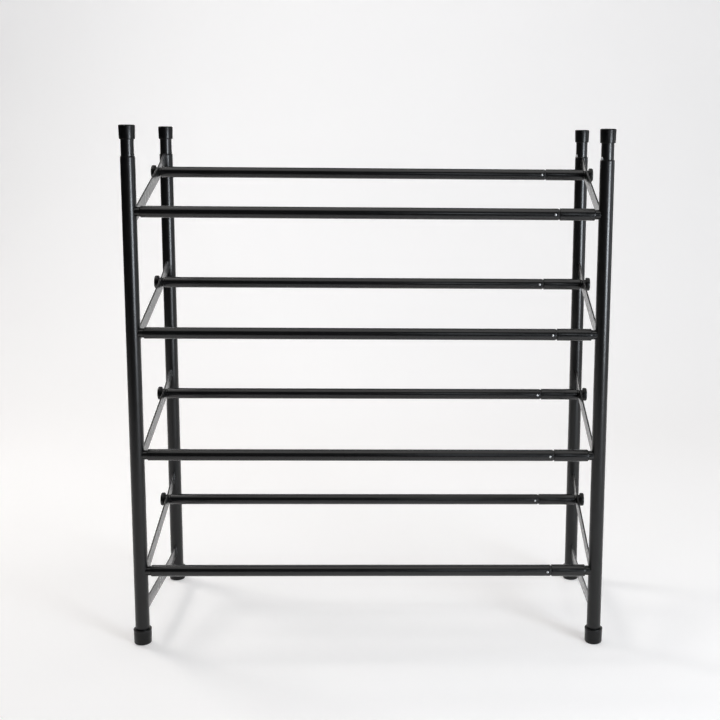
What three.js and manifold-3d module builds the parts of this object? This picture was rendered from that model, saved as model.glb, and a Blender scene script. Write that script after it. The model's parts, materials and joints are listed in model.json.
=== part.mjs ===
// Four-tier shoe rack whose rails telescope, so that it extends sideways.
// Millimetres, +Z up, X to the right, Y to the back.
// The origin is on the floor under the middle of the collapsed rack.
import * as THREE from "three";
import { mergeVertices } from "three/addons/utils/BufferGeometryUtils.js";
import Module from "manifold-3d";

const wasm = await Module();
wasm.setup();

// ---- Driving dimensions ----
const HALF_WIDTH = 309; // from the middle to the axis of an upright
const HALF_DEPTH = 115;
const TOTAL_HEIGHT = 700;
const GAP = 0.3; // between pieces that touch, fit or are welded

const UPRIGHT_RADIUS = 9.5;
const UPRIGHT_WALL = 0.8;
const UPRIGHT_TOP = 660;

const STUB_RADIUS = 8.4; // narrower tube that a second rack stacks onto
const STUB_WALL = 1;
const STUB_BOTTOM = 620;

const CAP_HEIGHT = 18.5;
const CAP_BOTTOM_RADIUS = 10.25;
const CAP_TOP_RADIUS = 10.6;
const CAP_ROOF = 3;
const CAP_EDGE = 1.4;

const FOOT_HEIGHT = 21;
const FOOT_RADIUS = 12.2;
const FOOT_BASE = 3;
const FOOT_EDGE = 2.4;
const FOOT_TAPER = 0.3;

const BAR_HEIGHT = 18; // across the flat bar, square to its length
const BAR_THICKNESS = 2;
const BAR_CORNER = 6; // rounding of the high end's upper corner
const BAR_INSET = 2.5; // from the uprights' axes towards the middle of the rack
const TIER_SLOPE = 0.357; // rise over run of a side bar
const BRACE_HEIGHT_ABOVE_FLOOR = 48; // middle of the level bar near the floor

const FRONT_RAIL_HEIGHTS = [103, 265, 430, 589]; // axes, from the lowest tier up
const BACK_RAIL_RISE = 46; // back rail's axis above the front rail's
const RAIL_SETBACK = 168; // from the front rail's axis to the back rail's

const RAIL_RADIUS = 7.7;
const RAIL_BORE_RADIUS = 7.1;
const SLEEVE_RADIUS = 8;
const JUNCTION_X = 247; // where every outer tube ends
const JUNCTION_GROOVE = 1.8;
const FRONT_SHOULDER_X = 294.5; // where a front rail steps down to its spigot
const BACK_SHOULDER_X = 302.5;
const SPIGOT_RADIUS = 6.4;
const SPIGOT_BORE_RADIUS = 5.2;
const SPIGOT_ENTRY = 7.5; // how far a front spigot goes in past the upright's surface
const END_BLOCK = 18; // solid length at a rail's end, measured from its shoulder

const INNER_RADIUS = 6.7;
const INNER_BORE_RADIUS = 5.9;
const INNER_START_X = -268; // hidden end of the sliding tube, collapsed

const STUD_RADIUS = 2.8;
const STUD_LENGTH = 17; // in from the bar's outer face
const KNOB_NECK_RADIUS = 6.5;
const KNOB_NECK_LENGTH = 3.3;
const KNOB_RADIUS = 9.6;
const KNOB_THICKNESS = 5.3;
const KNOB_EDGE = 1;

const BAR_X = HALF_WIDTH - BAR_INSET;

const UPRIGHT_SIDES = 20; // flats round an upright, its stub, cap and foot
const RAIL_SIDES = 16;
const KNOB_SIDES = 20;
const HOLE_SIDES = 16;
const EDGE_STEPS = 2; // steps in a rounded edge

// ---- Materials ----
const steelPaint = (name, roughness) =>
  new THREE.MeshStandardMaterial({ name, color: 0x1b1b1d, roughness, metalness: 0.1 });
const uprightPaint = steelPaint("upright_paint", 0.32);
const stubPaint = steelPaint("stub_paint", 0.36);
const barPaint = steelPaint("bar_paint", 0.4);
const railPaint = steelPaint("rail_paint", 0.4);
const slidePaint = steelPaint("slide_paint", 0.3);
const sleevePlastic = new THREE.MeshStandardMaterial({
  name: "sleeve_plastic",
  color: 0x161617,
  roughness: 0.28,
});
const fittingPlastic = new THREE.MeshStandardMaterial({
  name: "fitting_plastic",
  color: 0x151516,
  roughness: 0.5,
});

// ---- Shape helpers ----
// A profile is a list of [radius, distance along the axis] pairs.

// A quarter turn from one profile point to another, bulging to the corner between them.
function roundedEdge(from, corner, to) {
  const curve = new THREE.QuadraticBezierCurve(
    new THREE.Vector2(...from),
    new THREE.Vector2(...corner),
    new THREE.Vector2(...to),
  );
  return curve.getPoints(EDGE_STEPS).map((point) => [point.x, point.y]);
}

function turned(profile, sides) {
  const points = profile.map(([radius, along]) => new THREE.Vector2(radius, along));
  return new THREE.LatheGeometry(points, sides);
}

// A ring-shaped body: the profile is closed back to its first point.
const turnedRing = (profile, sides) => turned([...profile, profile[0]], sides);

// Turned bodies are made about Y; these lay the axis along Z or X.
const alongZ = (geometry) => geometry.rotateX(Math.PI / 2);
const alongX = (geometry) => geometry.rotateZ(-Math.PI / 2);

function solid(geometry) {
  const bare = geometry.clone();
  bare.deleteAttribute("normal");
  bare.deleteAttribute("uv");
  const merged = mergeVertices(bare, 1e-3);
  return new wasm.Manifold(
    new wasm.Mesh({
      numProp: 3,
      vertProperties: merged.attributes.position.array,
      triVerts: new Uint32Array(merged.index.array),
    }),
  );
}

function geometryOf(manifold) {
  const { vertProperties, triVerts } = manifold.getMesh();
  const geometry = new THREE.BufferGeometry();
  geometry.setAttribute("position", new THREE.BufferAttribute(vertProperties, 3));
  geometry.setIndex(new THREE.BufferAttribute(triVerts, 1));
  geometry.computeVertexNormals();
  return geometry;
}

function piece(name, geometry, material, x = 0, y = 0, z = 0) {
  const mesh = new THREE.Mesh(geometry, material);
  mesh.name = name;
  mesh.position.set(x, y, z);
  return mesh;
}

// ---- Side frames ----
// side is -1 for the left frame and 1 for the right one.

function uprightGeometry() {
  const inner = UPRIGHT_RADIUS - UPRIGHT_WALL;
  const bottom = FOOT_BASE + GAP;
  const wall = [
    [inner, bottom],
    [UPRIGHT_RADIUS, bottom],
    [UPRIGHT_RADIUS, UPRIGHT_TOP],
    [inner, UPRIGHT_TOP],
  ];
  return alongZ(turnedRing(wall, UPRIGHT_SIDES));
}

// A front upright has a hole on its inner side for each front rail's spigot.
function frontUprightGeometry(side) {
  let upright = solid(uprightGeometry());
  for (const height of FRONT_RAIL_HEIGHTS) {
    const drill = new THREE.CylinderGeometry(
      SPIGOT_RADIUS + GAP,
      SPIGOT_RADIUS + GAP,
      2 * UPRIGHT_RADIUS,
      HOLE_SIDES,
    );
    alongX(drill).translate(-side * UPRIGHT_RADIUS, 0, height);
    upright = upright.subtract(solid(drill));
  }
  return geometryOf(upright);
}

function stubGeometry() {
  const top = TOTAL_HEIGHT - CAP_ROOF - GAP;
  const wall = [
    [STUB_RADIUS - STUB_WALL, STUB_BOTTOM],
    [STUB_RADIUS, STUB_BOTTOM],
    [STUB_RADIUS, top],
    [STUB_RADIUS - STUB_WALL, top],
  ];
  return alongZ(turnedRing(wall, UPRIGHT_SIDES));
}

function capGeometry() {
  const bottom = TOTAL_HEIGHT - CAP_HEIGHT;
  const bore = STUB_RADIUS + GAP;
  const skirt = [
    [0, TOTAL_HEIGHT - CAP_ROOF],
    [bore, TOTAL_HEIGHT - CAP_ROOF],
    [bore, bottom],
    [CAP_BOTTOM_RADIUS, bottom],
    ...roundedEdge(
      [CAP_TOP_RADIUS, TOTAL_HEIGHT - CAP_EDGE],
      [CAP_TOP_RADIUS, TOTAL_HEIGHT],
      [CAP_TOP_RADIUS - CAP_EDGE, TOTAL_HEIGHT],
    ),
    [0, TOTAL_HEIGHT],
  ];
  return alongZ(turned(skirt, UPRIGHT_SIDES));
}

function footGeometry() {
  const bore = UPRIGHT_RADIUS + GAP;
  const lowRadius = FOOT_RADIUS - FOOT_TAPER;
  const cup = [
    [0, 0],
    ...roundedEdge([lowRadius - FOOT_EDGE, 0], [lowRadius, 0], [lowRadius, FOOT_EDGE]),
    [FOOT_RADIUS, FOOT_HEIGHT],
    [bore, FOOT_HEIGHT],
    [bore, FOOT_BASE],
    [0, FOOT_BASE],
  ];
  return alongZ(turned(cup, UPRIGHT_SIDES));
}

function uprightPieces(side, sideName) {
  const group = new THREE.Group();
  for (const [rowName, row] of [["front", -1], ["back", 1]]) {
    const column = new THREE.Group();
    column.position.set(side * HALF_WIDTH, row * HALF_DEPTH, 0);
    const tube = row < 0 ? frontUprightGeometry(side) : uprightGeometry();
    const name = `${sideName}_${rowName}`;
    column.add(piece(`${name}_upright`, tube, uprightPaint));
    column.add(piece(`${name}_stub`, stubGeometry(), stubPaint));
    column.add(piece(`${name}_cap`, capGeometry(), fittingPlastic));
    column.add(piece(`${name}_foot`, footGeometry(), fittingPlastic));
    group.add(column);
  }
  return group;
}

// A flat bar between the uprights, drawn in Y and Z about the back rail's axis.
// Its ends are upright cuts, and a slanted bar's high end has a rounded upper corner.
function barGeometry(slope, withHole) {
  const reach = HALF_DEPTH - UPRIGHT_RADIUS - GAP;
  const backRailY = RAIL_SETBACK - HALF_DEPTH;
  const low = -reach - backRailY;
  const high = reach - backRailY;
  const half = (BAR_HEIGHT / 2) * Math.hypot(1, slope);
  const outline = new THREE.Shape();
  outline.moveTo(low, slope * low - half);
  outline.lineTo(high, slope * high - half);
  if (slope > 0) {
    outline.lineTo(high, slope * high + half - BAR_CORNER);
    outline.quadraticCurveTo(
      high,
      slope * high + half,
      high - BAR_CORNER,
      slope * (high - BAR_CORNER) + half,
    );
  } else {
    outline.lineTo(high, half);
  }
  outline.lineTo(low, slope * low + half);
  outline.closePath();
  if (withHole) {
    const hole = new THREE.Path();
    hole.absarc(0, 0, STUD_RADIUS + GAP, 0, 2 * Math.PI, true);
    outline.holes.push(hole);
  }
  const bar = new THREE.ExtrudeGeometry(outline, {
    depth: BAR_THICKNESS,
    bevelEnabled: false,
    curveSegments: HOLE_SIDES / 2,
  });
  bar.translate(0, 0, -BAR_THICKNESS / 2);
  const xAxis = new THREE.Vector3(1, 0, 0);
  const yAxis = new THREE.Vector3(0, 1, 0);
  const zAxis = new THREE.Vector3(0, 0, 1);
  return bar.applyMatrix4(new THREE.Matrix4().makeBasis(yAxis, zAxis, xAxis));
}

function barPieces(side, sideName) {
  const group = new THREE.Group();
  group.position.set(side * BAR_X, RAIL_SETBACK - HALF_DEPTH, 0);
  FRONT_RAIL_HEIGHTS.forEach((height, tier) => {
    const name = `${sideName}_side_bar_${tier + 1}`;
    const bar = barGeometry(TIER_SLOPE, true);
    group.add(piece(name, bar, barPaint, 0, 0, height + BACK_RAIL_RISE));
  });
  const brace = barGeometry(0, false);
  const braceName = `${sideName}_base_brace`;
  group.add(piece(braceName, brace, barPaint, 0, 0, BRACE_HEIGHT_ABOVE_FLOOR));
  return group;
}

// ---- Telescopic rails ----
// Profiles run along X. A front rail ends in open spigots that enter the uprights.
// A back rail ends in thick blocks, drilled for the knobs' studs.

const FRONT_END = {
  shoulder: FRONT_SHOULDER_X,
  tip: HALF_WIDTH - UPRIGHT_RADIUS + SPIGOT_ENTRY,
  bore: SPIGOT_BORE_RADIUS,
};
const BACK_END = {
  shoulder: BACK_SHOULDER_X,
  tip: BAR_X - BAR_THICKNESS / 2 - GAP,
  bore: STUD_RADIUS + GAP,
};

// The closed profile of a tube with a stepped end: open at `mouth`, stepped at `tip`.
// It runs from the mouth towards +X; the left ends use it turned round.
function steppedTube(mouth, end, radius, bore) {
  return [
    [bore, mouth],
    [radius, mouth],
    [radius, end.shoulder],
    [SPIGOT_RADIUS, end.shoulder],
    [SPIGOT_RADIUS, end.tip],
    [end.bore, end.tip],
    [end.bore, end.shoulder - END_BLOCK],
    [bore, end.shoulder - END_BLOCK],
  ];
}

// The long left tube, whose stepped end faces left.
function outerTubeGeometry(end) {
  const profile = steppedTube(-JUNCTION_X, end, RAIL_RADIUS, RAIL_BORE_RADIUS);
  return alongX(turnedRing(profile, RAIL_SIDES)).rotateZ(Math.PI);
}

// The short sleeve fixed over the right end of the sliding tube.
function endSleeveGeometry(end) {
  const mouth = JUNCTION_X + JUNCTION_GROOVE;
  const profile = steppedTube(mouth, end, SLEEVE_RADIUS, INNER_RADIUS + GAP);
  return alongX(turnedRing(profile, RAIL_SIDES));
}

function innerTubeGeometry(end) {
  const right = end.shoulder - END_BLOCK - GAP;
  const wall = [
    [INNER_BORE_RADIUS, INNER_START_X],
    [INNER_RADIUS, INNER_START_X],
    [INNER_RADIUS, right],
    [INNER_BORE_RADIUS, right],
  ];
  return alongX(turnedRing(wall, RAIL_SIDES));
}

function railPieces() {
  const group = new THREE.Group();
  const rows = [
    { name: "front", end: FRONT_END, y: -HALF_DEPTH, rise: 0 },
    { name: "back", end: BACK_END, y: RAIL_SETBACK - HALF_DEPTH, rise: BACK_RAIL_RISE },
  ];
  for (const { name, end, y, rise } of rows) {
    FRONT_RAIL_HEIGHTS.forEach((height, tier) => {
      const rail = new THREE.Group();
      rail.position.set(0, y, height + rise);
      const label = `${name}_rail_${tier + 1}`;
      rail.add(piece(`${label}_outer_tube`, outerTubeGeometry(end), railPaint));
      rail.add(piece(`${label}_inner_tube`, innerTubeGeometry(end), slidePaint));
      rail.add(piece(`${label}_end_sleeve`, endSleeveGeometry(end), sleevePlastic));
      group.add(rail);
    });
  }
  return group;
}

// ---- Knobs ----
// A knob and its stud, about X, pointing right from the bar's outer face at x = 0.
function knobGeometry() {
  const neckEnd = GAP + KNOB_NECK_LENGTH;
  const face = neckEnd + KNOB_THICKNESS;
  const profile = [
    [0, -STUD_LENGTH],
    [STUD_RADIUS, -STUD_LENGTH],
    [STUD_RADIUS, GAP],
    [KNOB_NECK_RADIUS, GAP],
    [KNOB_NECK_RADIUS, neckEnd],
    [KNOB_RADIUS, neckEnd],
    ...roundedEdge(
      [KNOB_RADIUS, face - KNOB_EDGE],
      [KNOB_RADIUS, face],
      [KNOB_RADIUS - KNOB_EDGE, face],
    ),
    [0, face],
  ];
  return alongX(turned(profile, KNOB_SIDES));
}

function knobPieces(side, sideName) {
  const group = new THREE.Group();
  const barFace = BAR_X + BAR_THICKNESS / 2;
  FRONT_RAIL_HEIGHTS.forEach((height, tier) => {
    const knob = piece(`${sideName}_knob_${tier + 1}`, knobGeometry(), fittingPlastic);
    knob.position.set(side * barFace, RAIL_SETBACK - HALF_DEPTH, height + BACK_RAIL_RISE);
    if (side < 0) knob.rotation.z = Math.PI;
    group.add(knob);
  });
  return group;
}

// ---- The rack ----
const rack = new THREE.Group();
for (const [sideName, side] of [["left", -1], ["right", 1]]) {
  rack.add(uprightPieces(side, sideName));
  rack.add(barPieces(side, sideName));
  rack.add(knobPieces(side, sideName));
}
rack.add(railPieces());

export default rack;
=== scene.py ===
"""Looks of a four-tier telescopic shoe rack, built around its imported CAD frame. Metres, +Z up."""

import json
import math

import bmesh
import bpy
from mathutils import Matrix, Vector


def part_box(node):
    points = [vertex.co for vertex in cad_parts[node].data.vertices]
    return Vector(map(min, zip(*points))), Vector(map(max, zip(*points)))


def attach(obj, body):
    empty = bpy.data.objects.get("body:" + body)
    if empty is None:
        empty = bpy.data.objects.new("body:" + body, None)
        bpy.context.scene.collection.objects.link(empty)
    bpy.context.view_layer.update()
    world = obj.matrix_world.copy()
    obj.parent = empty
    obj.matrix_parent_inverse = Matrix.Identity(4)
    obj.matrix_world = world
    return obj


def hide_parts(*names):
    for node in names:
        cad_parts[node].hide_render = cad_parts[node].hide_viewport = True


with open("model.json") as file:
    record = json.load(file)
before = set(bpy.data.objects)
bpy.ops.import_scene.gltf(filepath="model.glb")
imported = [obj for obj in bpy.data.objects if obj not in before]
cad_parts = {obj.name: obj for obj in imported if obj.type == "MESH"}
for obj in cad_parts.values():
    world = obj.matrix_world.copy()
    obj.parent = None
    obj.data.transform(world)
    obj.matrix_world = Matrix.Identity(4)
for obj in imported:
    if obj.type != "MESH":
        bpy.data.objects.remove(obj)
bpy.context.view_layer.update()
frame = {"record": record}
SCENE = bpy.context.scene

MM = 0.001
SIDES = (("left", -1), ("right", 1))
ROWS = ("front", "back")
TIERS = (1, 2, 3, 4)

# ---- Camera ----
LENS = 56.82
SENSOR = 36.0
CAMERA_PLACE = Vector((0.0576, -1.5947, 0.6861))
CAMERA_PITCH = math.radians(-8.555)
CAMERA_YAW = math.radians(1.426)
CAMERA_ROLL = math.radians(0.486)
CAMERA_SHIFT = (-0.112, -0.0707)

# ---- Fine sizes that the CAD leaves out ----
SEGMENTS = 72  # facets round a tube
SMALL_SEGMENTS = 32  # facets round a rivet, dimple or weld bead
FILLET_STEPS = 4
SHARP_ANGLE = math.radians(32)

TUBE_WALL = 0.8 * MM
STUB_WALL = 1.0 * MM
MOUTH_CLOSING = 1.6 * MM
BAR_HEIGHT = 18 * MM
BAR_SLOPE = 0.357
BAR_CORNER = 6 * MM
BAR_EDGE = 0.55 * MM
BAR_BEND_Y = 50 * MM  # behind this the bar leans outward to the back upright's centre line
BAR_BEND = math.tan(math.radians(2.4))
WELD_RADIUS = 1.5 * MM
WELD_RIPPLE = 0.22 * MM
WELD_PITCH = 2.3 * MM
RIVET_RADIUS = 2.3 * MM
RIVET_HEIGHT = 1.6 * MM
RIVET_TURN = math.radians(22)  # from facing the other frame, toward the front
DIMPLE_RADIUS = 1.5 * MM
DIMPLE_HEIGHT = 0.75 * MM
DIMPLE_INSET = 4.2 * MM  # from the outer tube's end
RAIL_WALL = 0.6 * MM
SLEEVE_BORE = 7.0 * MM
SPIGOT_RADIUS = 6.4 * MM
FRONT_SPIGOT = 12.5 * MM  # from a front rail's shoulder to its tip
BACK_SPIGOT = 2.7 * MM
SHOULDER_EDGE = 0.9 * MM
END_BLOCK = 18 * MM  # closed length at a rail's end
STUD_BORE = 3.1 * MM
STUD_RADIUS = 2.8 * MM
KNOB_HEAD = 5.3 * MM
KNOB_NECK = 3.3 * MM
KNOB_NECK_RADIUS = 6.5 * MM


# ---- Mesh helpers ----

def fillet(before, corner, after, radius):
    """Points of a round that replaces a corner of a profile."""
    corner = Vector(corner[:2])
    to_before = (Vector(before[:2]) - corner).normalized()
    to_after = (Vector(after[:2]) - corner).normalized()
    angle = to_before.angle(to_after)
    reach = radius / math.tan(angle / 2)
    start = corner + to_before * reach
    end = corner + to_after * reach
    middle = (to_before + to_after).normalized()
    centre = corner + middle * (radius / math.sin(angle / 2))
    turn = (start - centre).angle_signed(end - centre)
    points = []
    for step in range(FILLET_STEPS + 1):
        spin = Matrix.Rotation(-turn * step / FILLET_STEPS, 2)
        point = centre + spin @ (start - centre)
        points.append((point.x, point.y))
    return points


def rounded(corners, closed):
    """A profile of (radius, along) points from corners of (radius, along, fillet radius)."""
    points = []
    count = len(corners)
    for index, corner in enumerate(corners):
        inner = closed or 0 < index < count - 1
        if inner and corner[2] > 0:
            before = corners[index - 1]
            after = corners[(index + 1) % count]
            points += fillet(before, corner, after, corner[2])
        else:
            points.append(corner[:2])
    return points


def finish_mesh(name, shape):
    """A smooth-shaded object from a bmesh, with its hard edges kept sharp."""
    bmesh.ops.recalc_face_normals(shape, faces=shape.faces)
    mesh = bpy.data.meshes.new(name)
    shape.to_mesh(mesh)
    shape.free()
    mesh.polygons.foreach_set("use_smooth", [True] * len(mesh.polygons))
    mesh.set_sharp_from_angle(angle=SHARP_ANGLE)
    piece = bpy.data.objects.new(name, mesh)
    SCENE.collection.objects.link(piece)
    return piece


def turn_into(shape, profile, place, closed, segments):
    """Adds to a bmesh the body that a profile sweeps round local Z, moved by place."""
    rings = []
    for radius, along in profile:
        if radius < 1e-7:
            rings.append([shape.verts.new(place @ Vector((0, 0, along)))])
            continue
        ring = []
        for step in range(segments):
            angle = 2 * math.pi * step / segments
            point = Vector((radius * math.cos(angle), radius * math.sin(angle), along))
            ring.append(shape.verts.new(place @ point))
        rings.append(ring)
    pairs = list(zip(rings, rings[1:]))
    if closed:
        pairs.append((rings[-1], rings[0]))
    for low, high in pairs:
        for step in range(segments):
            after = (step + 1) % segments
            corners = [low[step % len(low)], low[after % len(low)]]
            corners += [high[after % len(high)], high[step % len(high)]]
            unique = list(dict.fromkeys(corners))
            if len(unique) > 2:
                shape.faces.new(unique)


def turned(name, corners, place, closed=False, segments=SEGMENTS):
    """An object turned from corners of (radius, along, fillet radius)."""
    shape = bmesh.new()
    turn_into(shape, rounded(corners, closed), place, closed, segments)
    return finish_mesh(name, shape)


def at(x, y, z, axis=(0, 0, 1)):
    """The place of a turned body whose local Z lies along axis."""
    spin = Vector((0, 0, 1)).rotation_difference(Vector(axis))
    return Matrix.Translation((x, y, z)) @ spin.to_matrix().to_4x4()


def body_of(node):
    """The CAD body that holds a node."""
    bodies = frame["record"]["behaviour"]["bodies"]
    return next(body for body, nodes in bodies.items() if node in nodes)


def dress(piece, node, material, stands_for=True):
    """Gives a piece its finish and its ride; it stands for the node, or only rides with it."""
    piece.data.materials.append(material)
    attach(piece, body_of(node))
    if stands_for:
        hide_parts(node)
    return piece


# ---- Materials ----

class Nodes:
    """A material's node tree, with short calls for the nodes that the finishes share."""

    def __init__(self, name):
        self.material = bpy.data.materials.new(name)
        self.material.use_nodes = True
        self.tree = self.material.node_tree
        self.shader = self.tree.nodes["Principled BSDF"]
        self.coordinates = self.add("ShaderNodeTexCoord").outputs["Object"]

    def add(self, kind):
        return self.tree.nodes.new(kind)

    def link(self, source, target):
        self.tree.links.new(source, target)

    def stretched(self, scale):
        mapping = self.add("ShaderNodeMapping")
        mapping.inputs["Scale"].default_value = scale
        self.link(self.coordinates, mapping.inputs["Vector"])
        return mapping.outputs["Vector"]

    def noise(self, scale, detail=2.0, vector=None, roughness=0.5):
        node = self.add("ShaderNodeTexNoise")
        node.inputs["Scale"].default_value = scale
        node.inputs["Detail"].default_value = detail
        node.inputs["Roughness"].default_value = roughness
        self.link(vector or self.coordinates, node.inputs["Vector"])
        return node.outputs["Fac"]

    def ranged(self, value, low, high, start=0.3, stop=0.7):
        node = self.add("ShaderNodeMapRange")
        node.inputs["From Min"].default_value = start
        node.inputs["From Max"].default_value = stop
        node.inputs["To Min"].default_value = low
        node.inputs["To Max"].default_value = high
        self.link(value, node.inputs["Value"])
        return node.outputs["Result"]

    def mixed(self, factor, first, second):
        node = self.add("ShaderNodeMix")
        node.data_type = "RGBA"
        node.inputs["A"].default_value = (*first, 1)
        node.inputs["B"].default_value = (*second, 1)
        self.link(factor, node.inputs["Factor"])
        return node.outputs["Result"]

    def bump(self, height, strength, distance, normal=None):
        node = self.add("ShaderNodeBump")
        node.inputs["Strength"].default_value = strength
        node.inputs["Distance"].default_value = distance
        self.link(height, node.inputs["Height"])
        if normal:
            self.link(normal, node.inputs["Normal"])
        return node.outputs["Normal"]

    def wire(self, color, roughness, normal):
        self.link(color, self.shader.inputs["Base Color"])
        self.link(roughness, self.shader.inputs["Roughness"])
        self.link(normal, self.shader.inputs["Normal"])
        return self.material


PAINT_IOR = 1.43
ORANGE_PEEL = 0.035  # bump strength


def powder_coat(name, dark, light, smooth, rough, coat=0.0, ior=PAINT_IOR):
    """Black powder coat: a fine orange peel, and a sheen that varies a little from place to place."""
    nodes = Nodes(name)
    nodes.shader.inputs["IOR"].default_value = ior
    nodes.shader.inputs["Coat Weight"].default_value = coat
    nodes.shader.inputs["Coat Roughness"].default_value = rough
    patches = nodes.noise(14, detail=4)
    speckle = nodes.noise(1500, detail=1)
    orange_peel = nodes.noise(620, detail=1.5)
    color = nodes.mixed(nodes.ranged(patches, 0, 1), dark, light)
    sheen = nodes.ranged(nodes.noise(90, detail=5), smooth, rough)
    fine = nodes.bump(speckle, 0.02, 0.05 * MM)
    return nodes.wire(color, sheen, nodes.bump(orange_peel, ORANGE_PEEL, 0.12 * MM, fine))


def slid_coat(name):
    """The same coat, burnished along X where one tube slides in another."""
    nodes = Nodes(name)
    nodes.shader.inputs["IOR"].default_value = PAINT_IOR
    along = nodes.stretched((6, 900, 900))
    streaks = nodes.noise(1, detail=6, vector=along, roughness=0.65)
    color = nodes.mixed(nodes.ranged(streaks, 0, 1, 0.45, 0.8), (0.009,) * 3, (0.03, 0.03, 0.031))
    sheen = nodes.ranged(streaks, 0.2, 0.42)
    return nodes.wire(color, sheen, nodes.bump(streaks, 0.12, 0.04 * MM))


def moulded_plastic(name, dark, light, smooth, rough, grain, ior):
    """Black moulded plastic with a fine spark-eroded grain."""
    nodes = Nodes(name)
    nodes.shader.inputs["IOR"].default_value = ior
    color = nodes.mixed(nodes.ranged(nodes.noise(60, detail=3), 0, 1), dark, light)
    sheen = nodes.ranged(nodes.noise(240, detail=4), smooth, rough)
    return nodes.wire(color, sheen, nodes.bump(nodes.noise(2600, detail=2), grain, 0.05 * MM))


def weld_paint(name):
    """Thick paint over a weld bead."""
    nodes = Nodes(name)
    nodes.shader.inputs["IOR"].default_value = PAINT_IOR
    color = nodes.mixed(nodes.ranged(nodes.noise(200), 0, 1), (0.009,) * 3, (0.014,) * 3)
    sheen = nodes.ranged(nodes.noise(400, detail=3), 0.2, 0.32)
    return nodes.wire(color, sheen, nodes.bump(nodes.noise(900, detail=3), 0.3, 0.15 * MM))


def glinting_zinc(name):
    """Bright zinc-like metal given to the dimples and to the right frame's rivets so that they glint: a
    painted highlight. It is brushed a little, as by handling.
    """
    nodes = Nodes(name)
    nodes.shader.inputs["Metallic"].default_value = 1.0
    color = nodes.mixed(nodes.ranged(nodes.noise(500, detail=3), 0, 1), (0.55, 0.56, 0.58), (0.68,) * 3)
    sheen = nodes.ranged(nodes.noise(800, detail=3), 0.28, 0.4)
    return nodes.wire(color, sheen, nodes.bump(nodes.noise(1800, detail=2), 0.1, 0.03 * MM))


UPRIGHT_PAINT = powder_coat("upright_powder_coat", (0.0022,) * 3, (0.0036,) * 3, 0.28, 0.33)
STUB_PAINT = powder_coat("stub_powder_coat", (0.0022,) * 3, (0.0038,) * 3, 0.27, 0.34)
BAR_PAINT = powder_coat("bar_powder_coat", (0.005,) * 3, (0.008,) * 3, 0.22, 0.29, coat=0.5)
RAIL_PAINT = powder_coat("rail_powder_coat", (0.0026,) * 3, (0.0042,) * 3, 0.21, 0.26, ior=1.5)
SLIDE_PAINT = slid_coat("slide_burnished_coat")
SLEEVE_PLASTIC = moulded_plastic(
    "sleeve_black_plastic", (0.0028,) * 3, (0.0045,) * 3, 0.20, 0.27, grain=0.04, ior=1.5
)
FITTING_PLASTIC = moulded_plastic(
    "fitting_black_plastic", (0.0016,) * 3, (0.0028,) * 3, 0.27, 0.35, grain=0.07, ior=1.35
)
WELD_PAINT = weld_paint("weld_bead_paint")
GLINT_ZINC = glinting_zinc("glinting_zinc_finish")


# ---- Uprights and what is on them ----

def tube_corners(radius, wall, low, high, closing=0.3 * MM):
    """The closed wall of a straight tube; its high mouth is rolled in over the length of closing."""
    inner = radius - wall
    return [
        (inner, low, 0.15 * MM),
        (radius, low, 0.3 * MM),
        (radius, high - closing, closing * 0.8),
        (radius - min(closing * 0.45, wall * 0.6), high, 0.12 * MM),
        (inner, high, 0.05 * MM),
    ]


def column(node):
    """(x, y, lowest z, highest z, radius) of a CAD node that is turned about Z."""
    low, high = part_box(node)
    middle = (low + high) / 2
    return middle.x, middle.y, low.z, high.z, (high.x - low.x) / 2


def make_upright(node):
    x, y, low, high, radius = column(node)
    corners = tube_corners(radius, TUBE_WALL, low, high, MOUTH_CLOSING)
    tube = turned(f"{node}_tube", corners, at(x, y, 0), closed=True)
    dress(tube, node, UPRIGHT_PAINT)


def make_stub(node):
    x, y, low, high, radius = column(node)
    corners = tube_corners(radius, STUB_WALL, low, high)
    tube = turned(f"{node}_tube", corners, at(x, y, 0), closed=True)
    dress(tube, node, STUB_PAINT)


def make_cap(node):
    """A push-on cap: tapered skirt, soft lower lip, and a low crown with a shallow ring."""
    x, y, low, high, radius = column(node)
    lip = radius - 0.45 * MM
    bore = radius - 1.95 * MM
    ring = radius * 0.62
    corners = [
        (0, high - 3 * MM, 0),
        (bore, high - 3 * MM, 0.3 * MM),
        (bore, low, 0.25 * MM),
        (lip - 0.15 * MM, low, 0.6 * MM),
        (lip, low + 1.5 * MM, 1.5 * MM),
        (radius, high - 0.5 * MM, 1.3 * MM),
        (radius * 0.8, high, 1.5 * MM),
        (ring, high, 0.15 * MM),
        (ring - 0.4 * MM, high - 0.35 * MM, 0.15 * MM),
        (0, high - 0.35 * MM, 0),
    ]
    dress(turned(f"{node}_cup", corners, at(x, y, 0)), node, FITTING_PLASTIC)


def make_foot(node):
    """A foot cup: a flat sole with a moat, a round heel, and a thin bead round its mouth."""
    x, y, low, high, radius = column(node)
    bore = radius - 2.4 * MM
    sole = radius - 3.4 * MM
    corners = [
        (0, 0.5 * MM, 0),
        (sole - 2.2 * MM, 0.5 * MM, 0.2 * MM),
        (sole - 1.6 * MM, low, 0.3 * MM),
        (radius - 0.45 * MM, low, 2.6 * MM),
        (radius - 0.2 * MM, high - 2.6 * MM, 0.5 * MM),
        (radius, high - 2.0 * MM, 0.4 * MM),
        (radius, high, 0.7 * MM),
        (bore, high, 0.4 * MM),
        (bore, low + 3 * MM, 0.3 * MM),
        (0, low + 3 * MM, 0),
    ]
    dress(turned(f"{node}_cup", corners, at(x, y, 0)), node, FITTING_PLASTIC)


def dome_corners(radius, height, depth):
    """A low button head, with a short shank that sinks into what it sits on."""
    return [
        (0, -depth, 0),
        (radius, -depth, 0),
        (radius, height * 0.15, height * 0.12),
        (radius * 0.72, height * 0.8, radius * 0.5),
        (0, height, 0),
    ]


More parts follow.
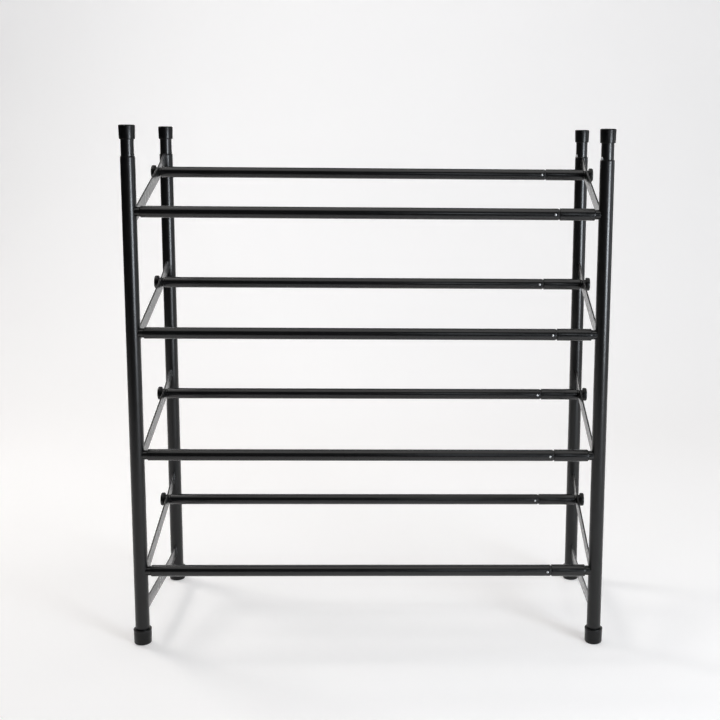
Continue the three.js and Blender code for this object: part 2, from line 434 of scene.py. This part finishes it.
def make_stub_rivet(name, side):
    """The rivet that holds the stub, at the upright's mouth; the right frame's get bright metal as a
    painted highlight, the left frame's keep the black paint.
    """
    x, y, _, _, radius = column(f"{name}_stub")
    axis = Vector((-side * math.cos(RIVET_TURN), -math.sin(RIVET_TURN), 0))
    foot = axis * (radius - 0.2 * MM)
    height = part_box(f"{name}_upright")[1].z + RIVET_RADIUS * 0.7
    corners = dome_corners(RIVET_RADIUS, RIVET_HEIGHT, 0.6 * MM)
    place = at(x + foot.x, y + foot.y, height, axis)
    rivet = turned(f"{name}_rivet", corners, place, segments=SMALL_SEGMENTS)
    # Bright metal on the right frame only: a painted glint on the rivets that catch the light; the left
    # ones keep the paint.
    finish = GLINT_ZINC if side > 0 else WELD_PAINT
    dress(rivet, f"{name}_stub", finish, stands_for=False)


# ---- Flat bars ----

def bar_outline(low_y, high_y, height_at, slope):
    """Corners of a bar seen from the side, as (y, z), with the high end's upper corner rounded."""
    half = BAR_HEIGHT / 2 * math.hypot(1, slope)
    corners = [
        (low_y, height_at(low_y) - half, 0.3 * MM),
        (high_y, height_at(high_y) - half, 0.3 * MM),
        (high_y, height_at(high_y) + half, BAR_CORNER if slope else 0.3 * MM),
        (low_y, height_at(low_y) + half, 0.3 * MM),
    ]
    return rounded(corners, closed=True)


def make_bar(node, slope, middle_y, middle_z):
    """A flat steel bar with rolled edges."""
    low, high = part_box(node)

    def height_at(y):
        return middle_z + slope * (y - middle_y)

    shape = bmesh.new()
    outline = bar_outline(low.y, high.y, height_at, slope)
    inner = [shape.verts.new((low.x, y, z)) for y, z in outline]
    outer = [shape.verts.new((high.x, y, z)) for y, z in outline]
    faces = [shape.faces.new(inner), shape.faces.new(list(reversed(outer)))]
    rims = {edge for face in faces for edge in face.edges}
    for step, vertex in enumerate(inner):
        after = (step + 1) % len(inner)
        shape.faces.new((inner[after], vertex, outer[step], outer[after]))
    bmesh.ops.bevel(
        shape, geom=list(rims), offset=BAR_EDGE, segments=3, profile=0.5, affect="EDGES"
    )
    bmesh.ops.bisect_plane(
        shape, geom=shape.verts[:] + shape.edges[:] + shape.faces[:],
        plane_co=(0, BAR_BEND_Y, 0), plane_no=(0, 1, 0),
    )
    outward = math.copysign(BAR_BEND, low.x)
    for vertex in shape.verts:
        vertex.co.x += outward * max(0, vertex.co.y - BAR_BEND_Y)
    dress(finish_mesh(f"{node}_flat", shape), node, BAR_PAINT)
    make_welds(node, low, high, height_at)


def weld_corners(length):
    """A bead about its own axis: round ends, and a ripple for each dab of the weld."""
    dabs = max(3, round(length / WELD_PITCH))
    corners = [(0, -length / 2, 0)]
    steps = dabs * 6
    for step in range(1, steps):
        share = step / steps
        swell = math.sin(math.pi * share) ** 0.35
        ripple = WELD_RIPPLE * abs(math.sin(math.pi * dabs * share))
        corners.append((swell * (WELD_RADIUS - WELD_RIPPLE + ripple), (share - 0.5) * length, 0))
    corners.append((0, length / 2, 0))
    return corners


def make_welds(node, low, high, height_at):
    """Beads down both faces of each end of a bar, against the uprights."""
    shape = bmesh.new()
    length = BAR_HEIGHT * 0.92
    for end_y, toward in ((low.y, -1), (high.y, 1)):
        shift = math.copysign(BAR_BEND, low.x) * max(0, end_y - BAR_BEND_Y)
        for face_x in (low.x + shift, high.x + shift):
            drop = BAR_CORNER * 0.25 if toward > 0 else 0
            place = at(face_x, end_y + toward * 0.1 * MM, height_at(end_y) - drop)
            turn_into(shape, [c[:2] for c in weld_corners(length)], place, False, SMALL_SEGMENTS)
    welds = finish_mesh(f"{node}_welds", shape)
    dress(welds, node, WELD_PAINT, stands_for=False)


# ---- Rails ----

def rail_line(node):
    """(y, z, lowest x, highest x, radius) of a CAD node that is turned about X."""
    low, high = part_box(node)
    middle = (low + high) / 2
    return middle.y, middle.z, low.x, high.x, (high.z - low.z) / 2


def stepped_corners(row, radius, bore, length):
    """A tube from its open mouth, at 0, to a stepped end with a thick plug, at length."""
    shoulder = length - (FRONT_SPIGOT if row == "front" else BACK_SPIGOT)
    return [
        (bore, 0, 0.2 * MM),
        (radius, 0, 0.45 * MM),
        (radius, shoulder, SHOULDER_EDGE),
        (SPIGOT_RADIUS + 0.25 * MM, shoulder, 0.2 * MM),
        (SPIGOT_RADIUS, shoulder + 0.5 * MM, 0.2 * MM),
        (SPIGOT_RADIUS, length, 0.3 * MM),
        (STUD_BORE, length, 0.1 * MM),
        (STUD_BORE, length - END_BLOCK, 0.1 * MM),
        (bore, length - END_BLOCK, 0.1 * MM),
    ]


def make_outer_tube(node, row):
    """The long left tube: its stepped end is at the left, its open mouth at the junction."""
    y, z, left, right, radius = rail_line(node)
    corners = stepped_corners(row, radius, radius - RAIL_WALL, right - left)
    tube = turned(f"{node}_skin", corners, at(right, y, z, (-1, 0, 0)), closed=True)
    dress(tube, node, RAIL_PAINT)
    # The dimple is a real feature; its bright metal is a painted highlight that makes it glint.
    place = at(right - DIMPLE_INSET, y - radius + 0.15 * MM, z, (0, -1, 0))
    corners = dome_corners(DIMPLE_RADIUS, DIMPLE_HEIGHT, 0.5 * MM)
    dimple = turned(f"{node}_dimple", corners, place, segments=SMALL_SEGMENTS)
    dress(dimple, node, GLINT_ZINC, stands_for=False)


def make_end_sleeve(node, row):
    """The short right sleeve: its mouth is at the junction, its stepped end at the right."""
    y, z, left, right, radius = rail_line(node)
    corners = stepped_corners(row, radius, SLEEVE_BORE, right - left)
    sleeve = turned(f"{node}_skin", corners, at(left, y, z, (1, 0, 0)), closed=True)
    dress(sleeve, node, SLEEVE_PLASTIC)


def make_inner_tube(node):
    y, z, left, right, radius = rail_line(node)
    corners = tube_corners(radius, TUBE_WALL, 0, right - left)
    tube = turned(f"{node}_skin", corners, at(left, y, z, (1, 0, 0)), closed=True)
    dress(tube, node, SLIDE_PAINT)


# ---- Knobs ----

def make_knob(node, side):
    """A clamping knob: stud, neck, head with soft rims, dished outer face and stepped inner face."""
    y, z, left, right, radius = rail_line(node)
    length = right - left
    head = length - KNOB_HEAD
    neck = head - KNOB_NECK
    corners = [
        (0, 0, 0),
        (STUD_RADIUS, 0, 0.4 * MM),
        (STUD_RADIUS, neck, 0.1 * MM),
        (KNOB_NECK_RADIUS, neck, 0.3 * MM),
        (KNOB_NECK_RADIUS, head + 0.5 * MM, 0.3 * MM),
        (radius - 2.9 * MM, head + 0.5 * MM, 0.1 * MM),
        (radius - 2.5 * MM, head, 0.1 * MM),
        (radius, head, 0.8 * MM),
        (radius, length - 1.6 * MM, 0.4 * MM),
        (radius - 0.4 * MM, length, 1.0 * MM),
        (radius - 2.8 * MM, length, 0.2 * MM),
        (radius - 3.4 * MM, length - 0.7 * MM, 0.3 * MM),
        (1.4 * MM, length - 0.9 * MM, 0.1 * MM),
        (1.1 * MM, length - 1.2 * MM, 0.1 * MM),
        (0, length - 1.2 * MM, 0),
    ]
    place = at(left if side > 0 else right, y, z, (side, 0, 0))
    dress(turned(f"{node}_grip", corners, place), node, FITTING_PLASTIC)


# ---- The rack ----

def make_side(side_name, side):
    for row in ROWS:
        name = f"{side_name}_{row}"
        make_upright(f"{name}_upright")
        make_stub(f"{name}_stub")
        make_stub_rivet(name, side)
        make_cap(f"{name}_cap")
        make_foot(f"{name}_foot")
    for tier in TIERS:
        y, z, *_ = rail_line(f"back_rail_{tier}_outer_tube")
        make_bar(f"{side_name}_side_bar_{tier}", BAR_SLOPE, y, z)
        make_knob(f"{side_name}_knob_{tier}", side)
    low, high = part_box(f"{side_name}_base_brace")
    make_bar(f"{side_name}_base_brace", 0, 0, (low.z + high.z) / 2)


def make_rails():
    for row in ROWS:
        for tier in TIERS:
            make_outer_tube(f"{row}_rail_{tier}_outer_tube", row)
            make_inner_tube(f"{row}_rail_{tier}_inner_tube")
            make_end_sleeve(f"{row}_rail_{tier}_end_sleeve", row)


# ---- Studio ----
STAGE_HALF_WIDTH = 1.75
STAGE_FRONT = -0.95
SWEEP_START = 1.0
SWEEP_RADIUS = 1.1
SWEEP_TOP = 2.6
SURROUND_RADIUS = 9.0
GLOW = 0.288  # the paper's own light near the rack
FAR_GLOW = 0.80
GLOW_RISE = (1.5, 3.2)  # distances to the side or front between which the glow rises


def glow_strength(nodes):
    """The paper's own light: it rises where the lamps' light falls away, except toward the wall."""
    split = nodes.add("ShaderNodeSeparateXYZ")
    nodes.link(nodes.coordinates, split.inputs["Vector"])
    ahead = nodes.add("ShaderNodeMath")
    ahead.operation = "MINIMUM"
    ahead.inputs[1].default_value = 0
    nodes.link(split.outputs["Y"], ahead.inputs[0])
    plan = nodes.add("ShaderNodeCombineXYZ")
    nodes.link(split.outputs["X"], plan.inputs["X"])
    nodes.link(ahead.outputs["Value"], plan.inputs["Y"])
    reach = nodes.add("ShaderNodeVectorMath")
    reach.operation = "LENGTH"
    nodes.link(plan.outputs["Vector"], reach.inputs[0])
    return nodes.ranged(reach.outputs["Value"], GLOW, FAR_GLOW, *GLOW_RISE)


def pale_paper():
    """White paper, lifted by a little light of its own as an overexposed backdrop is."""
    nodes = Nodes("pale_paper")
    shader = nodes.shader
    mottle = nodes.ranged(nodes.noise(1.3, detail=3), 0, 1)
    color = nodes.mixed(mottle, (0.80, 0.795, 0.79), (0.82, 0.815, 0.81))
    nodes.link(color, shader.inputs["Base Color"])
    shader.inputs["Roughness"].default_value = 0.9
    shader.inputs["Specular IOR Level"].default_value = 0.2
    shader.inputs["Emission Color"].default_value = (1.0, 0.97, 0.965, 1)
    nodes.link(glow_strength(nodes), shader.inputs["Emission Strength"])
    return nodes.material


def sweep_line():
    """(y, z) points of the paper: a flat floor, a round, and a wall behind."""
    points = [(STAGE_FRONT, 0)]
    steps = 32
    for step in range(steps + 1):
        angle = math.pi / 2 * step / steps
        y = SWEEP_START + SWEEP_RADIUS * math.sin(angle)
        points.append((y, SWEEP_RADIUS * (1 - math.cos(angle))))
    points.append((SWEEP_START + SWEEP_RADIUS, SWEEP_TOP))
    return points


def make_sweep(paper):
    """White paper that the rack stands on and that rises behind it without an edge."""
    shape = bmesh.new()
    rows = []
    for y, z in sweep_line():
        rows.append([shape.verts.new((x, y, z)) for x in (-STAGE_HALF_WIDTH, STAGE_HALF_WIDTH)])
    for low, high in zip(rows, rows[1:]):
        shape.faces.new((low[0], low[1], high[1], high[0]))
    sweep = finish_mesh("sweep", shape)
    sweep.data.materials.append(paper)


def make_surround(paper):
    """More paper around the sweep, which only the camera sees, so that no view meets an edge."""
    shape = bmesh.new()
    bmesh.ops.create_circle(shape, cap_ends=True, radius=SURROUND_RADIUS, segments=96)
    for vertex in shape.verts:
        vertex.co.z = -0.5 * MM
    surround = finish_mesh("surround", shape)
    surround.data.materials.append(paper)
    surround.visible_diffuse = False
    surround.visible_glossy = False
    surround.visible_shadow = False


def make_area_light(name, place, target, size, radiance, color, spread=180):
    """A soft rectangular light of that radiance; size is (width, height), spread is in degrees."""
    light = bpy.data.lights.new(name, "AREA")
    light.shape = "RECTANGLE"
    light.size, light.size_y = size
    light.energy = radiance * math.pi * size[0] * size[1]
    light.color = color
    light.spread = math.radians(spread)
    lamp = bpy.data.objects.new(name, light)
    lamp.location = place
    facing = Vector(target) - Vector(place)
    lamp.rotation_euler = facing.to_track_quat("-Z", "Y").to_euler()
    lamp.visible_camera = False
    SCENE.collection.objects.link(lamp)
    return lamp


def make_lights():
    cool = (0.87, 0.93, 1.0)
    # A window at the right front: the bright line down each upright, and the sheen beside it.
    make_area_light("window", (1.46, -1.55, 0.41), (0, 0, 0.41), (0.62, 0.66), 8.3, cool, 90)
    make_area_light("window_side", (2.2, -1.55, 0.95), (0, 0, 0.85), (1.1, 1.3), 1.6, cool)
    # A strip above the uprights' reflections, which only the rails show, near their junctions.
    make_area_light("rail_strip", (0.40, -1.75, 0.90), (0, 0, 0.5), (0.34, 0.44), 2.7, cool)
    # From behind at the left: the soft shadows that fall forward over the floor.
    make_area_light("key", (-1.25, 0.70, 1.60), (0, 0, 0.1), (0.45, 0.45), 16.0, (1.0, 0.97, 0.94))
    # The room's own light: floor, rail tops, and both ends of the wall.
    make_area_light("ceiling", (0, -0.4, 2.5), (0, -0.4, 0), (2.8, 2.5), 1.35, (1.0, 0.99, 0.98))
    make_area_light("wall_wash", (-1.3, 0.6, 2.3), (-1.2, 2.1, 1.4), (1.0, 0.5), 3.2, (1.0, 0.98, 0.96))
    make_area_light("right_fill", (2.6, 0.4, 0.9), (0.8, 1.9, 0.6), (1.6, 1.8), 1.7, (0.90, 0.95, 1.0))


def make_world():
    """A dim room, shown pale where the camera sees past the paper."""
    world = bpy.data.worlds.new("studio")
    world.use_nodes = True
    SCENE.world = world
    tree = world.node_tree
    pale = tree.nodes["Background"]
    pale.inputs["Color"].default_value = (1.0, 0.97, 0.965, 1)
    pale.inputs["Strength"].default_value = 0.88
    dim = tree.nodes.new("ShaderNodeBackground")
    dim.inputs["Color"].default_value = (0.95, 0.97, 1.0, 1)
    dim.inputs["Strength"].default_value = 0.03
    path = tree.nodes.new("ShaderNodeLightPath")
    mix = tree.nodes.new("ShaderNodeMixShader")
    tree.links.new(path.outputs["Is Camera Ray"], mix.inputs["Fac"])
    tree.links.new(dim.outputs["Background"], mix.inputs[1])
    tree.links.new(pale.outputs["Background"], mix.inputs[2])
    tree.links.new(mix.outputs["Shader"], tree.nodes["World Output"].inputs["Surface"])


def make_camera():
    """The camera: level with the rack's top, a little right of its middle, looking slightly down."""
    lens = bpy.data.cameras.new("camera")
    lens.lens = LENS
    lens.sensor_width = SENSOR
    lens.shift_x, lens.shift_y = CAMERA_SHIFT
    camera = bpy.data.objects.new("camera", lens)
    look = Matrix.Rotation(-CAMERA_YAW, 4, "Z") @ Matrix.Rotation(math.pi / 2 + CAMERA_PITCH, 4, "X")
    camera.matrix_world = Matrix.Translation(CAMERA_PLACE) @ look @ Matrix.Rotation(CAMERA_ROLL, 4, "Z")
    SCENE.collection.objects.link(camera)
    SCENE.camera = camera


make_camera()
paper = pale_paper()
make_sweep(paper)
make_surround(paper)
make_world()
make_lights()
for name, direction in SIDES:
    make_side(name, direction)
make_rails()
SCENE.view_settings.view_transform = "Standard"
